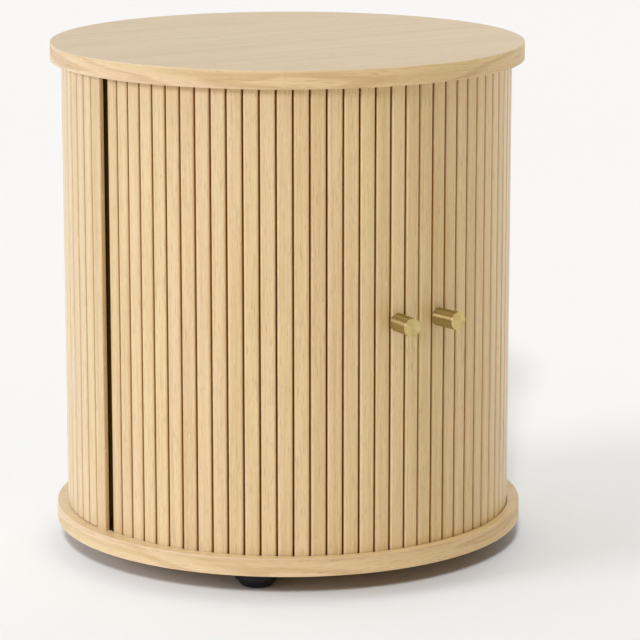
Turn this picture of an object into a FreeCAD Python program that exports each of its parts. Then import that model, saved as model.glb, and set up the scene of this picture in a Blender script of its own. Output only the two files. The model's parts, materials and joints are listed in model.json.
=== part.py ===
import FreeCAD, Part
import math
import os
import Sketcher

# Round nightstand with two tambour doors.
# Millimetres. +Z up, the front faces -Y, the floor is z = 0.
# The origin is on the floor, on the vertical axis that both doors turn about.
# The round top and base are centred ring_offset behind that axis.
# Angles are measured from the front, positive towards +X.

V = FreeCAD.Vector
UP = V(0, 0, 1)

doc = FreeCAD.newDocument("tambour_nightstand")
dims = doc.addObject("Spreadsheet::Sheet", "dims")

SIZES = [
    # round boards
    ("panel_radius", 225.0),
    ("board_thk", 17.0),
    ("band_thk", 1.0),
    ("band_round", 0.8),
    ("foot_height", 25.0),
    ("clear_height", 430.0),
    ("ring_offset", 6.6),
    # doors
    ("door_radius", 209.0),
    ("door_pitch", 4.165),
    ("door_slats", 21),
    ("slat_width", 13.9),
    ("slat_thk", 6.5),
    ("slat_round", 2.4),
    ("slat_lift", 0.4),
    ("slat_engage", 5.0),
    ("door_half_gap", 0.26),
    ("canvas_thk", 0.7),
    ("canvas_seat", 0.05),
    ("canvas_margin", 0.8),
    ("canvas_tail", 5.3),
    ("track_slack", 0.6),
    ("track_depth_base", 6.0),
    ("track_depth_top", 7.0),
    ("track_arc", 337.0),
    # fixed back
    ("back_radius", 214.5),
    ("back_slat_thk", 3.0),
    ("back_slat_width", 13.9),
    ("back_slat_lift", 0.8),
    ("back_slat_round", 2.2),
    ("back_core_thk", 1.5),
    ("back_pitch", 4.1422),
    ("back_slats", 43),
    ("jamb_angle", 86.8),
    ("jamb_width", 14.5),
    ("jamb_round", 1.2),
    ("back_core_arc", 178.5),
    # inner drum
    ("drum_radius", 197.0),
    ("drum_thk", 12.0),
    ("drum_arc", 176.0),
    ("drum_strip_arc", 0.3),
    ("fixing_radius", 191.0),
    ("fixing_start", 96.0),
    ("fixing_sweep", 168.0),
    ("fixing_count", 6),
    # shelf
    ("shelf_radius", 183.2),
    ("shelf_front", 30.0),
    ("shelf_thk", 16.0),
    ("shelf_base_z", 249.0),
    ("pin_r", 2.5),
    ("pin_slack", 0.05),
    ("pin_collar_r", 3.5),
    ("pin_collar_thk", 1.5),
    ("pin_in", 8.0),
    ("pin_out", 8.0),
    ("pin_count", 4),
    # dowels and screws
    ("dowel_r", 3.0),
    ("dowel_len", 30.0),
    ("dowel_in_top", 10.0),
    ("hole_slack", 0.1),
    ("hole_extra", 0.3),
    ("screw_r", 2.0),
    ("screw_len", 45.0),
    ("screw_head_r", 4.0),
    ("screw_head_len", 3.0),
    ("recess_long", 4.6),
    ("recess_arm", 1.3),
    ("recess_deep", 1.3),
    # feet
    ("foot_x", 114.5),
    ("foot_y", 119.0),
    ("foot_top_r", 23.4),
    ("foot_mid_r", 20.9),
    ("foot_mid_z", 8.2),
    ("foot_bot_r", 14.2),
    ("foot_arris", 1.0),
    ("foot_round", 1.5),
    ("foot_bore_r", 6.0),
    ("foot_bore_len", 14.0),
    ("foot_screw_in", 12.0),
    ("foot_head_r", 4.5),
    ("foot_head_len", 3.0),
    # knobs
    ("knob_r", 8.5),
    ("knob_len", 27.0),
    ("knob_round", 0.4),
    ("knob_z", 255.0),
    ("knob_hole_len", 10.0),
    ("knob_screw_in", 8.0),
    ("knob_head_r", 4.0),
    ("knob_head_len", 2.4),
    ("knob_clear", 0.3),
]
for row, (alias, value) in enumerate(SIZES, start=1):
    dims.set("A%d" % row, alias)
    dims.set("B%d" % row, str(value))
    dims.setAlias("B%d" % row, alias)
doc.recompute()


def val(alias):
    return float(dims.get(alias))


def expr(text):
    # every sheet name in the text is read from the sheet
    out = text
    for alias in sorted((a for a, _ in SIZES), key=len, reverse=True):
        out = out.replace("{" + alias + "}", "dims." + alias)
    return out


def num(text):
    # the same text as a number, for a sketch's first shape
    out = text
    for alias, _ in SIZES:
        out = out.replace("{" + alias + "}", repr(val(alias)))
    total = 0.0
    for term in out.replace("-", "+-").replace("++-", "+-").split("+"):
        term = term.strip()
        if not term:
            continue
        sign = 1.0
        if term.startswith("-"):
            sign, term = -1.0, term[1:].strip()
        product = 1.0
        for factor in term.split("*"):
            if "/" in factor:
                a, b = factor.split("/")
                product *= float(a) / float(b)
            else:
                product *= float(factor)
        total += sign * product
    return total


BASE_UNDER = "{foot_height}"
BASE_TOP = "{foot_height} + {board_thk}"
TOP_UNDER = "{foot_height} + {board_thk} + {clear_height}"
TOP_TOP = "{foot_height} + 2*{board_thk} + {clear_height}"


def new_body(label, many=False):
    body = doc.addObject("PartDesign::Body", label)
    body.Label = label
    if many:
        body.AllowCompound = True
    return body


def origin_plane(body, role):
    for feature in body.Origin.OriginFeatures:
        if feature.Role == role:
            return feature
    raise RuntimeError("no plane " + role)


def sketch_on(body, name, role, lift=None, turn=0.0, spin=0.0):
    sk = body.newObject("Sketcher::SketchObject", name)
    sk.AttachmentSupport = [(origin_plane(body, role), "")]
    sk.MapMode = "FlatFace"
    offset = FreeCAD.Placement()
    if turn:
        # turns the drawing about the upright axis
        offset = FreeCAD.Placement(V(0, 0, 0), FreeCAD.Rotation(V(0, 1, 0), turn))
    if lift is not None:
        offset = FreeCAD.Placement(V(0, 0, num(lift)), FreeCAD.Rotation(UP, spin))
    sk.AttachmentOffset = offset
    if lift is not None:
        sk.setExpression("AttachmentOffset.Base.z", expr(lift))
    return sk


def bind(sk, constraint, name, text):
    index = sk.addConstraint(constraint)
    sk.renameConstraint(index, name)
    sk.setExpression("Constraints." + name, expr(text))


def place_point(sk, geo, pos, name, x_text, y_text):
    # a point held at (x, y) from the sketch's origin; the texts may be negative
    for axis, text, kind in (("x", x_text, "DistanceX"), ("y", y_text, "DistanceY")):
        bind(
            sk,
            Sketcher.Constraint(kind, -1, 1, geo, pos, num(text)),
            name + "_" + axis,
            text,
        )


def polygon(sk, points, name="p"):
    # a closed outline through points given as pairs of size texts
    flat = [V(num(x), num(y), 0) for x, y in points]
    count, first = len(flat), sk.GeometryCount
    for i in range(count):
        sk.addGeometry(Part.LineSegment(flat[i], flat[(i + 1) % count]), False)
    for i in range(count):
        sk.addConstraint(
            Sketcher.Constraint("Coincident", first + i, 2, first + (i + 1) % count, 1)
        )
    for i, (x, y) in enumerate(points):
        place_point(sk, first + i, 1, name + "%d" % i, x, y)


def circle(sk, name, x_text, y_text, r_text):
    geo = sk.addGeometry(
        Part.Circle(V(num(x_text), num(y_text), 0), UP, num(r_text)), False
    )
    place_point(sk, geo, 3, name, x_text, y_text)
    bind(sk, Sketcher.Constraint("Radius", geo, num(r_text)), name + "_r", r_text)
    return geo


def cross(sk, name, x_text, y_text):
    # the outline of the cross recess in a screw's head
    a, b = "0.5*{recess_arm}", "0.5*{recess_long}"
    steps = [
        (" + " + b, " - " + a), (" + " + b, " + " + a), (" + " + a, " + " + a),
        (" + " + a, " + " + b), (" - " + a, " + " + b), (" - " + a, " + " + a),
        (" - " + b, " + " + a), (" - " + b, " - " + a), (" - " + a, " - " + a),
        (" - " + a, " - " + b), (" + " + a, " - " + b), (" + " + a, " - " + a),
    ]
    polygon(sk, [(x_text + dx, y_text + dy) for dx, dy in steps], name)


def pad(body, name, sk, length):
    feat = body.newObject("PartDesign::Pad", name)
    feat.Profile = sk
    feat.setExpression("Length", expr(length))
    return feat


def pocket(body, name, sk, length, flip=False, through=False):
    feat = body.newObject("PartDesign::Pocket", name)
    feat.Profile = sk
    if through:
        feat.Type = "ThroughAll"
        feat.Midplane = True
    else:
        feat.setExpression("Length", expr(length))
    feat.Reversed = flip
    return feat


def turned(body, name, sk, axis="V_Axis", arc=None, cut=False):
    feat = body.newObject(
        "PartDesign::Groove" if cut else "PartDesign::Revolution", name
    )
    feat.Profile = sk
    feat.ReferenceAxis = (sk, [axis])
    if arc is None:
        feat.Angle = 360.0
    else:
        feat.Midplane = True
        feat.setExpression("Angle", expr(arc))
    return feat


def around(body, name, feats, axis_sketch, sweep, count):
    # repeats features about the upright axis
    feat = body.newObject("PartDesign::PolarPattern", name)
    feat.Originals = feats
    feat.Axis = (axis_sketch, ["N_Axis"])
    feat.setExpression("Angle", expr(sweep))
    feat.setExpression("Occurrences", expr(count))
    body.Tip = feat
    return feat


def axis_line(sk, x1, y1, x2, y2):
    # a construction line that a profile turns about
    geo = sk.addGeometry(Part.LineSegment(V(num(x1), num(y1), 0), V(num(x2), num(y2), 0)), True)
    place_point(sk, geo, 1, "axis_a", x1, y1)
    place_point(sk, geo, 2, "axis_b", x2, y2)


def fillet_edges(body, name, base, test, radius):
    doc.recompute()
    names = [
        "Edge%d" % (i + 1) for i, e in enumerate(base.Shape.Edges) if test(e)
    ]
    feat = body.newObject("PartDesign::Fillet", name)
    feat.Base = (base, names)
    feat.setExpression("Radius", expr(radius))
    return feat


def compass(body, lift="0"):
    # an empty drawing whose normal is the body's upright axis
    return sketch_on(body, body.Label + "_compass", "XY_Plane", lift=lift)


def set_turn(body, angle, centre_y=0.0, x=0.0, z=0.0):
    body.Placement = FreeCAD.Placement(
        V(x, centre_y, z), FreeCAD.Rotation(UP, angle)
    )


# ------------------------------------------------------------------ round boards

FIX_TURN = val("fixing_start") - 180.0  # drawings at +Y turn to the first fixing
OFF = "{ring_offset}"


def track_cut(body, name, z_low, z_high):
    # the curved groove that the ends of the door slats run in
    sk = sketch_on(body, name + "_profile", "YZ_Plane")
    inner = "0 - {door_radius} + {slat_thk} + {track_slack}"
    outer = "0 - {door_radius} - {track_slack} - 0.1"
    polygon(sk, [(outer, z_low), (inner, z_low), (inner, z_high), (outer, z_high)])
    return turned(body, name, sk, arc="{track_arc}", cut=True)


def top_panel():
    body = new_body("top_panel")
    sk = sketch_on(body, "top_disc", "XY_Plane", lift=TOP_UNDER)
    circle(sk, "disc", "0", OFF, "{panel_radius} - {band_thk}")
    pad(body, "top_board", sk, "{board_thk}")
    track_cut(body, "top_track", TOP_UNDER, TOP_UNDER + " + {track_depth_top}")
    sk = sketch_on(body, "top_dowel_hole", "YZ_Plane", turn=FIX_TURN)
    edge = "{fixing_radius} + {dowel_r} + 0.5*{hole_slack}"
    deep = TOP_UNDER + " + {dowel_in_top} + {hole_extra}"
    polygon(
        sk,
        [
            ("{fixing_radius}", TOP_UNDER),
            (edge, TOP_UNDER),
            (edge, deep),
            ("{fixing_radius}", deep),
        ],
    )
    axis_line(sk, "{fixing_radius}", TOP_UNDER, "{fixing_radius}", TOP_TOP)
    hole = turned(body, "top_dowel_bore", sk, axis="Axis0", cut=True)
    around(body, "top_dowel_bores", [hole], compass(body), "{fixing_sweep}", "{fixing_count}")
    return body


def four_circles(sk, r_text):
    k = 0
    for sx in ("0 - {foot_x}", "{foot_x}"):
        for sy in ("{ring_offset} - {foot_y}", "{ring_offset} + {foot_y}"):
            circle(sk, "c%d" % k, sx, sy, r_text)
            k += 1


def base_panel():
    body = new_body("base_panel")
    sk = sketch_on(body, "base_disc", "XY_Plane", lift=BASE_UNDER)
    circle(sk, "disc", "0", OFF, "{panel_radius} - {band_thk}")
    pad(body, "base_board", sk, "{board_thk}")
    track_cut(body, "base_track", BASE_TOP + " - {track_depth_base}", BASE_TOP)
    sk = sketch_on(body, "foot_pilot_rings", "XY_Plane", lift=BASE_UNDER)
    four_circles(sk, "{screw_r} + 0.5*{hole_slack}")
    pocket(body, "foot_pilots", sk, "{foot_screw_in} + {hole_extra}", flip=True)
    sk = sketch_on(body, "base_screw_hole", "YZ_Plane", turn=FIX_TURN)
    wide = "{fixing_radius} + {screw_head_r} + {hole_slack}"
    narrow = "{fixing_radius} + {screw_r} + {hole_slack}"
    polygon(
        sk,
        [
            ("{fixing_radius}", BASE_UNDER),
            (wide, BASE_UNDER),
            (narrow, BASE_UNDER + " + {screw_head_len}"),
            (narrow, BASE_TOP),
            ("{fixing_radius}", BASE_TOP),
        ],
    )
    axis_line(sk, "{fixing_radius}", BASE_UNDER, "{fixing_radius}", BASE_TOP)
    hole = turned(body, "base_screw_bore", sk, axis="Axis0", cut=True)
    around(body, "base_screw_bores", [hole], compass(body), "{fixing_sweep}", "{fixing_count}")
    return body


def edge_band(label, z_low, z_high):
    # the strip round a board's rim, with both outer arrises eased
    body = new_body(label)
    sk = sketch_on(body, label + "_ring", "XY_Plane", lift=z_low)
    circle(sk, "outer", "0", OFF, "{panel_radius}")
    circle(sk, "inner", "0", OFF, "{panel_radius} - {band_thk}")
    ring = pad(body, label + "_strip", sk, "{board_thk}")
    big = val("panel_radius")
    fillet_edges(
        body,
        label + "_eased",
        ring,
        lambda e: isinstance(e.Curve, Part.Circle) and abs(e.Curve.Radius - big) < 1e-6,
        "{band_round}",
    )
    return body


# ------------------------------------------------------------------ slats

DOOR_LOW = "{foot_height} + {board_thk} - {track_depth_base} + {slat_lift}"
DOOR_TALL = "{clear_height} + {track_depth_base} - {slat_lift} + {slat_engage}"


def door_slat(label, angle, count=None, sweep=None):
    body = new_body(label, many=count is not None)
    sk = sketch_on(body, label + "_section", "XY_Plane", lift=DOOR_LOW)
    half = "0.5*{slat_width}"
    polygon(
        sk,
        [
            ("0 - " + half, "0 - {door_radius}"),
            (half, "0 - {door_radius}"),
            (half, "0 - {door_radius} + {slat_thk}"),
            ("0 - " + half, "0 - {door_radius} + {slat_thk}"),
        ],
    )
    stick = pad(body, label + "_stick", sk, DOOR_TALL)
    eased = fillet_edges(
        body, label + "_eased", stick, upright_at(-val("door_radius")), "{slat_round}"
    )
    if count is not None:
        around(body, label + "_row", [stick, eased], compass(body), sweep, count)
    set_turn(body, angle)
    return body


def upright_at(face_y):
    # picks the two long upright edges on a slat's outer face
    def test(e):
        a, b = e.Vertexes[0].Point, e.Vertexes[-1].Point
        return (
            abs(a.x - b.x) < 1e-6
            and abs(a.y - face_y) < 1e-6
            and abs(b.y - face_y) < 1e-6
        )

    return test


def back_slat(label, angle, thk, width, ease, lift="0", count=None, sweep=None):
    body = new_body(label, many=count is not None)
    sk = sketch_on(body, label + "_section", "XY_Plane", lift=BASE_TOP + " + " + lift)
    half = "0.5*" + width
    polygon(
        sk,
        [
            ("0 - " + half, "0 - {back_radius}"),
            (half, "0 - {back_radius}"),
            (half, "0 - {back_radius} + " + thk),
            ("0 - " + half, "0 - {back_radius} + " + thk),
        ],
    )
    stick = pad(body, label + "_stick", sk, "{clear_height} - 2*" + lift)
    eased = fillet_edges(
        body, label + "_eased", stick, upright_at(-val("back_radius")), ease
    )
    if count is not None:
        around(body, label + "_row", [stick, eased], compass(body), sweep, count)
    set_turn(body, angle, centre_y=val("ring_offset"))
    return body


# ------------------------------------------------------------------ curved walls

def curved_wall(label, inner, outer, z_low, z_high, arc, turn=0.0, centre_y=0.0):
    # a wall bent about the upright axis, its middle at the back before the turn
    body = new_body(label)
    sk = sketch_on(body, label + "_section", "YZ_Plane", turn=turn)
    polygon(sk, [(inner, z_low), (outer, z_low), (outer, z_high), (inner, z_high)])
    turned(body, label + "_wall", sk, arc=arc)
    set_turn(body, 0.0, centre_y=centre_y)
    return body


def back_shell():
    return curved_wall(
        "back_shell",
        "{back_radius} - {back_slat_thk} - {back_core_thk}",
        "{back_radius} - {back_slat_thk}",
        BASE_TOP,
        TOP_UNDER,
        "{back_core_arc}",
        centre_y=val("ring_offset"),
    )


def inner_drum():
    body = curved_wall(
        "inner_drum",
        "{drum_radius} - {drum_thk}",
        "{drum_radius}",
        BASE_TOP,
        TOP_UNDER,
        "{drum_arc}",
    )
    sk = sketch_on(body, "drum_fixing_holes", "YZ_Plane", turn=FIX_TURN)
    edge = "{fixing_radius} + {dowel_r} + 0.5*{hole_slack}"
    low = TOP_UNDER + " - {dowel_len} + {dowel_in_top} - {hole_extra}"
    polygon(
        sk,
        [
            ("{fixing_radius}", TOP_UNDER),
            (edge, TOP_UNDER),
            (edge, low),
            ("{fixing_radius}", low),
        ],
    )
    axis_line(sk, "{fixing_radius}", TOP_UNDER, "{fixing_radius}", low)
    dowel_hole = turned(body, "drum_dowel_bore", sk, axis="Axis0", cut=True)
    sk = sketch_on(body, "drum_screw_holes", "YZ_Plane", turn=FIX_TURN)
    edge = "{fixing_radius} + {screw_r} + 0.5*{hole_slack}"
    high = BASE_UNDER + " + {screw_len} + {hole_extra}"
    polygon(
        sk,
        [
            ("{fixing_radius}", BASE_TOP),
            (edge, BASE_TOP),
            (edge, high),
            ("{fixing_radius}", high),
        ],
    )
    axis_line(sk, "{fixing_radius}", BASE_TOP, "{fixing_radius}", high)
    screw_hole = turned(body, "drum_screw_bore", sk, axis="Axis0", cut=True)
    around(
        body,
        "drum_fixing_bores",
        [dowel_hole, screw_hole],
        compass(body),
        "{fixing_sweep}",
        "{fixing_count}",
    )
    sk = sketch_on(body, "drum_pin_holes", "YZ_Plane", turn=FIX_TURN)
    start = "{drum_radius} - {drum_thk}"
    end = "{drum_radius} - {drum_thk} + {pin_in}"
    axis_z = "{shelf_base_z} - {pin_r}"
    polygon(
        sk,
        [
            (start + " - 1", axis_z),
            (end, axis_z),
            (end, "{shelf_base_z}"),
            (start + " - 1", "{shelf_base_z}"),
        ],
    )
    axis_line(sk, start, axis_z, end, axis_z)
    pin_hole = turned(body, "drum_pin_bore", sk, axis="Axis0", cut=True)
    sk = sketch_on(body, "drum_pin_compass", "XY_Plane", lift="0")
    around(body, "drum_pin_bores", [pin_hole], sk, "{fixing_sweep}", "{pin_count}")
    return body


def drum_strip(label, side):
    # a thin strip that covers one of the drum's two front edges
    mid = side * (180.0 - 0.5 * val("drum_arc") - 0.5 * val("drum_strip_arc"))
    return curved_wall(
        label,
        "{drum_radius} - {drum_thk}",
        "{drum_radius}",
        BASE_TOP,
        TOP_UNDER,
        "{drum_strip_arc}",
        turn=mid - 180.0,
    )


# ------------------------------------------------------------------ shelf

def shelf():
    body = new_body("shelf")
    sk = sketch_on(body, "shelf_outline", "XY_Plane", lift="{shelf_base_z}")
    r, f = val("shelf_radius"), val("shelf_front")
    a0 = math.asin(-f / r)
    a1 = math.pi - a0
    sk.addGeometry(Part.ArcOfCircle(Part.Circle(V(0, 0, 0), UP, r), a0, a1), False)
    x = r * math.cos(a0)
    sk.addGeometry(Part.LineSegment(V(-x, -f, 0), V(x, -f, 0)), False)
    sk.addConstraint(Sketcher.Constraint("Coincident", 0, 2, 1, 1))
    sk.addConstraint(Sketcher.Constraint("Coincident", 1, 2, 0, 1))
    sk.addConstraint(Sketcher.Constraint("Coincident", 0, 3, -1, 1))
    sk.addConstraint(Sketcher.Constraint("Horizontal", 1))
    bind(sk, Sketcher.Constraint("Radius", 0, r), "round_r", "{shelf_radius}")
    bind(
        sk,
        Sketcher.Constraint("DistanceY", 1, 1, -1, 1, f),
        "front_y",
        "{shelf_front}",
    )
    pad(body, "shelf_board", sk, "{shelf_thk}")
    return body


def shelf_edge_band():
    box = doc.addObject("Part::Box", "shelf_edge_band")
    box.Label = "shelf_edge_band"
    half = "sqrt(dims.shelf_radius^2 - (dims.shelf_front + dims.band_thk)^2)"
    box.setExpression("Length", "2*" + half)
    box.setExpression("Width", "dims.band_thk")
    box.setExpression("Height", "dims.shelf_thk")
    box.setExpression("Placement.Base.x", "-" + half)
    box.setExpression("Placement.Base.y", "-dims.shelf_front - dims.band_thk")
    box.setExpression("Placement.Base.z", "dims.shelf_base_z")
    return box


def shelf_pins():
    body = new_body("shelf_pins", many=True)
    sk = sketch_on(body, "pin_profile", "YZ_Plane", turn=FIX_TURN)
    wall = "{drum_radius} - {drum_thk}"
    axis_z = "{shelf_base_z} - {pin_r}"
    top_z = "{shelf_base_z}"
    slim_z = "{shelf_base_z} - {pin_slack}"
    collar_z = "{shelf_base_z} - {pin_r} + {pin_collar_r}"
    tip = wall + " - {pin_out}"
    end = wall + " + {pin_in} - {hole_slack}"
    polygon(
        sk,
        [
            (tip, axis_z),
            (tip, top_z),
            (wall + " - {pin_collar_thk}", top_z),
            (wall + " - {pin_collar_thk}", collar_z),
            (wall + " - {pin_slack}", collar_z),
            (wall + " - {pin_slack}", slim_z),
            (end, slim_z),
            (end, axis_z),
        ],
    )
    axis_line(sk, tip, axis_z, end, axis_z)
    one = turned(body, "pin", sk, axis="Axis0")
    around(body, "pins", [one], compass(body), "{fixing_sweep}", "{pin_count}")
    return body


# ------------------------------------------------------------------ dowels and screws

def top_dowels():
    body = new_body("top_dowels", many=True)
    sk = sketch_on(body, "dowel_profile", "YZ_Plane", turn=FIX_TURN)
    low = TOP_UNDER + " - {dowel_len} + {dowel_in_top}"
    high = TOP_UNDER + " + {dowel_in_top}"
    edge = "{fixing_radius} + {dowel_r}"
    polygon(
        sk,
        [
            ("{fixing_radius}", low),
            (edge + " - 0.6", low),
            (edge, low + " + 0.6"),
            (edge, high + " - 0.6"),
            (edge + " - 0.6", high),
            ("{fixing_radius}", high),
        ],
    )
    axis_line(sk, "{fixing_radius}", low, "{fixing_radius}", high)
    one = turned(body, "dowel", sk, axis="Axis0")
    around(body, "dowels", [one], compass(body), "{fixing_sweep}", "{fixing_count}")
    return body


def base_screws():
    # countersunk screws, heads flush with the underside of the base
    body = new_body("base_screws", many=True)
    sk = sketch_on(body, "screw_profile", "YZ_Plane", turn=FIX_TURN)
    low = BASE_UNDER
    high = BASE_UNDER + " + {screw_len}"
    polygon(
        sk,
        [
            ("{fixing_radius}", low),
            ("{fixing_radius} + {screw_head_r}", low),
            ("{fixing_radius} + {screw_r}", low + " + {screw_head_len}"),
            ("{fixing_radius} + {screw_r}", high + " - 5"),
            ("{fixing_radius}", high),
        ],
    )
    axis_line(sk, "{fixing_radius}", low, "{fixing_radius}", high)
    one = turned(body, "screw", sk, axis="Axis0")
    sk = sketch_on(body, "screw_cross", "XY_Plane", lift=low, spin=FIX_TURN)
    cross(sk, "cross", "0", "{fixing_radius}")
    recess = pocket(body, "screw_recess", sk, "{recess_deep}", flip=True)
    around(
        body, "screws", [one, recess], compass(body), "{fixing_sweep}", "{fixing_count}"
    )
    return body


def foot_screws():
    body = new_body("foot_screws", many=True)
    sk = sketch_on(body, "foot_screw_heads", "XY_Plane", lift="{foot_bore_len} - {foot_head_len}")
    four_circles(sk, "{foot_head_r}")
    pad(body, "heads", sk, "{foot_head_len}")
    sk = sketch_on(body, "foot_screw_shanks", "XY_Plane", lift="{foot_bore_len}")
    four_circles(sk, "{screw_r}")
    pad(body, "shanks", sk, "{foot_height} - {foot_bore_len} + {foot_screw_in}")
    sk = sketch_on(body, "foot_screw_crosses", "XY_Plane", lift="{foot_bore_len} - {foot_head_len}")
    for name, sx in (("l", "0 - {foot_x}"), ("r", "{foot_x}")):
        cross(sk, name + "f", sx, "{ring_offset} - {foot_y}")
        cross(sk, name + "b", sx, "{ring_offset} + {foot_y}")
    pocket(body, "foot_screw_recesses", sk, "{recess_deep}", flip=True)
    return body


# ------------------------------------------------------------------ feet

def foot(label, sx, sy):
    body = new_body(label)
    sk = sketch_on(body, label + "_profile", "YZ_Plane")
    polygon(
        sk,
        [
            ("{foot_bore_r}", "0"),
            ("{foot_bot_r}", "0"),
            ("{foot_mid_r}", "{foot_mid_z}"),
            ("{foot_top_r}", "{foot_height} - {foot_arris}"),
            ("{foot_top_r} - 0.5*{foot_arris}", "{foot_height}"),
            ("{screw_r} + 2*{hole_slack}", "{foot_height}"),
            ("{screw_r} + 2*{hole_slack}", "{foot_bore_len}"),
            ("{foot_bore_r}", "{foot_bore_len}"),
        ],
    )
    cone = turned(body, label + "_cone", sk)
    turns = (val("foot_bot_r"), val("foot_mid_r"))
    fillet_edges(
        body,
        label + "_rounded",
        cone,
        lambda e: isinstance(e.Curve, Part.Circle)
        and min(abs(e.Curve.Radius - r) for r in turns) < 1e-6,
        "{foot_round}",
    )
    body.Placement = FreeCAD.Placement(
        V(sx * val("foot_x"), val("ring_offset") + sy * val("foot_y"), 0),
        FreeCAD.Rotation(),
    )
    return body


# ------------------------------------------------------------------ doors

KNOB_STEP = 1.5 * val("door_pitch")


def knob_slat(label, side):
    # the second slat from the meeting line, drilled for the knob's screw
    body = door_slat(label, side * KNOB_STEP)
    sk = sketch_on(body, label + "_hole", "XZ_Plane")
    circle(sk, "hole", "0", "{knob_z}", "{screw_r} + {knob_clear}")
    pocket(body, label + "_bore", sk, None, through=True)
    return body


def door_canvas(label, side):
    # the cloth glued behind the slats, pierced where the knob's screw passes; its tail
    # runs on past the last slat and closes the slot beside the jamb
    p, n, g = val("door_pitch"), val("door_slats"), val("door_half_gap")
    near = KNOB_STEP - g
    far = n * p - g - KNOB_STEP + val("canvas_tail")
    body = new_body(label)
    sk = sketch_on(body, label + "_section", "YZ_Plane", turn=side * 0.5 * (far - near))
    outer = "0 - {door_radius} + {slat_thk} + {canvas_seat}"
    inner = outer + " + {canvas_thk}"
    z_low = BASE_TOP + " + {canvas_margin}"
    z_high = TOP_UNDER + " - {canvas_margin}"
    polygon(sk, [(outer, z_low), (inner, z_low), (inner, z_high), (outer, z_high)])
    turned(
        body,
        label + "_sheet",
        sk,
        arc="{door_slats}*{door_pitch} - 2*{door_half_gap} + {canvas_tail}",
    )
    sk = sketch_on(body, label + "_hole", "XZ_Plane")
    circle(sk, "hole", "0", "{knob_z}", "{screw_r} + {knob_clear}")
    pocket(body, label + "_bore", sk, None, through=True)
    set_turn(body, side * KNOB_STEP)
    return body


def radial(body, side):
    # stands a turned piece out from the door, along the knob's line
    body.Placement = FreeCAD.Placement(
        V(0, 0, val("knob_z")),
        FreeCAD.Rotation(UP, side * KNOB_STEP) * FreeCAD.Rotation(V(1, 0, 0), 90),
    )


def knob(label, side):
    body = new_body(label)
    sk = sketch_on(body, label + "_profile", "YZ_Plane")
    r, back, front = "{knob_r}", "{door_radius}", "{door_radius} + {knob_len}"
    polygon(
        sk,
        [
            ("{screw_r} + 0.5*{hole_slack}", back),
            (r, back),
            (r, front),
            ("0", front),
            ("0", back + " + {knob_hole_len}"),
            ("{screw_r} + 0.5*{hole_slack}", back + " + {knob_hole_len}"),
        ],
    )
    stem = turned(body, label + "_cylinder", sk)
    big = val("knob_r")
    fillet_edges(
        body,
        label + "_eased",
        stem,
        lambda e: isinstance(e.Curve, Part.Circle) and abs(e.Curve.Radius - big) < 1e-6,
        "{knob_round}",
    )
    radial(body, side)
    return body


def knob_screw(label, side):
    body = new_body(label)
    sk = sketch_on(body, label + "_profile", "YZ_Plane")
    seat = "{door_radius} - {slat_thk} - {canvas_seat} - {canvas_thk} - {canvas_seat}"
    head = seat + " - {knob_head_len}"
    tip = "{door_radius} + {knob_screw_in}"
    polygon(
        sk,
        [
            ("0", head),
            ("{knob_head_r} - 0.8", head),
            ("{knob_head_r}", head + " + 0.8"),
            ("{knob_head_r}", seat),
            ("{screw_r}", seat),
            ("{screw_r}", tip),
            ("0", tip),
        ],
    )
    turned(body, label + "_turned", sk)
    sk = sketch_on(body, label + "_cross", "XY_Plane", lift=head)
    cross(sk, "cross", "0", "0")
    pocket(body, label + "_recess", sk, "{recess_deep}", flip=True)
    radial(body, side)
    return body


def door(name, side):
    p, n = val("door_pitch"), int(val("door_slats"))
    first = 2.5 * p if side > 0 else -(n - 0.5) * p
    return [
        door_slat(
            name + "_door_slats",
            first,
            count="{door_slats} - 2",
            sweep="{door_slats}*{door_pitch} - 3*{door_pitch}",
        ),
        door_slat(name + "_lead_slat", side * 0.5 * p),
        knob_slat(name + "_knob_slat", side),
        door_canvas(name + "_door_canvas", side),
        knob(name + "_knob", side),
        knob_screw(name + "_knob_screw", side),
    ]


# ------------------------------------------------------------------ assembly

JAMB_MID = val("jamb_angle") + math.degrees(0.5 * val("jamb_width") / val("back_radius"))
BACK_FIRST = val("jamb_angle") + 1.5 * val("back_pitch")

pieces = [
    top_panel(),
    edge_band("top_edge_band", TOP_UNDER, TOP_TOP),
    base_panel(),
    edge_band("base_edge_band", BASE_UNDER, BASE_TOP),
    back_shell(),
    back_slat(
        "back_slats",
        BACK_FIRST,
        "{back_slat_thk}",
        "{back_slat_width}",
        "{back_slat_round}",
        lift="{back_slat_lift}",
        count="{back_slats}",
        sweep="{back_slats}*{back_pitch} - {back_pitch}",
    ),
    back_slat(
        "left_jamb_slat",
        -JAMB_MID,
        "{back_slat_thk} + {back_core_thk}",
        "{jamb_width}",
        "{jamb_round}",
    ),
    back_slat(
        "right_jamb_slat",
        JAMB_MID,
        "{back_slat_thk} + {back_core_thk}",
        "{jamb_width}",
        "{jamb_round}",
    ),
    inner_drum(),
    drum_strip("left_drum_edge", -1),
    drum_strip("right_drum_edge", 1),
    shelf(),
    shelf_edge_band(),
    shelf_pins(),
    top_dowels(),
    base_screws(),
    foot("front_left_foot", -1, -1),
    foot("front_right_foot", 1, -1),
    foot("rear_left_foot", -1, 1),
    foot("rear_right_foot", 1, 1),
    foot_screws(),
]
pieces += door("left", -1)
pieces += door("right", 1)

doc.recompute()

# ------------------------------------------------------------------ checks and files

faults = []
for obj in doc.Objects:
    state = [s for s in obj.State if s in ("Invalid", "Error")]
    if state:
        faults.append("%s %s" % (obj.Label, state))
for piece in pieces:
    shape = piece.Shape
    if shape.isNull() or not shape.isValid() or not shape.Solids:
        faults.append("%s has no valid solid" % piece.Label)
if faults:
    raise RuntimeError("; ".join(faults))

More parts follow.
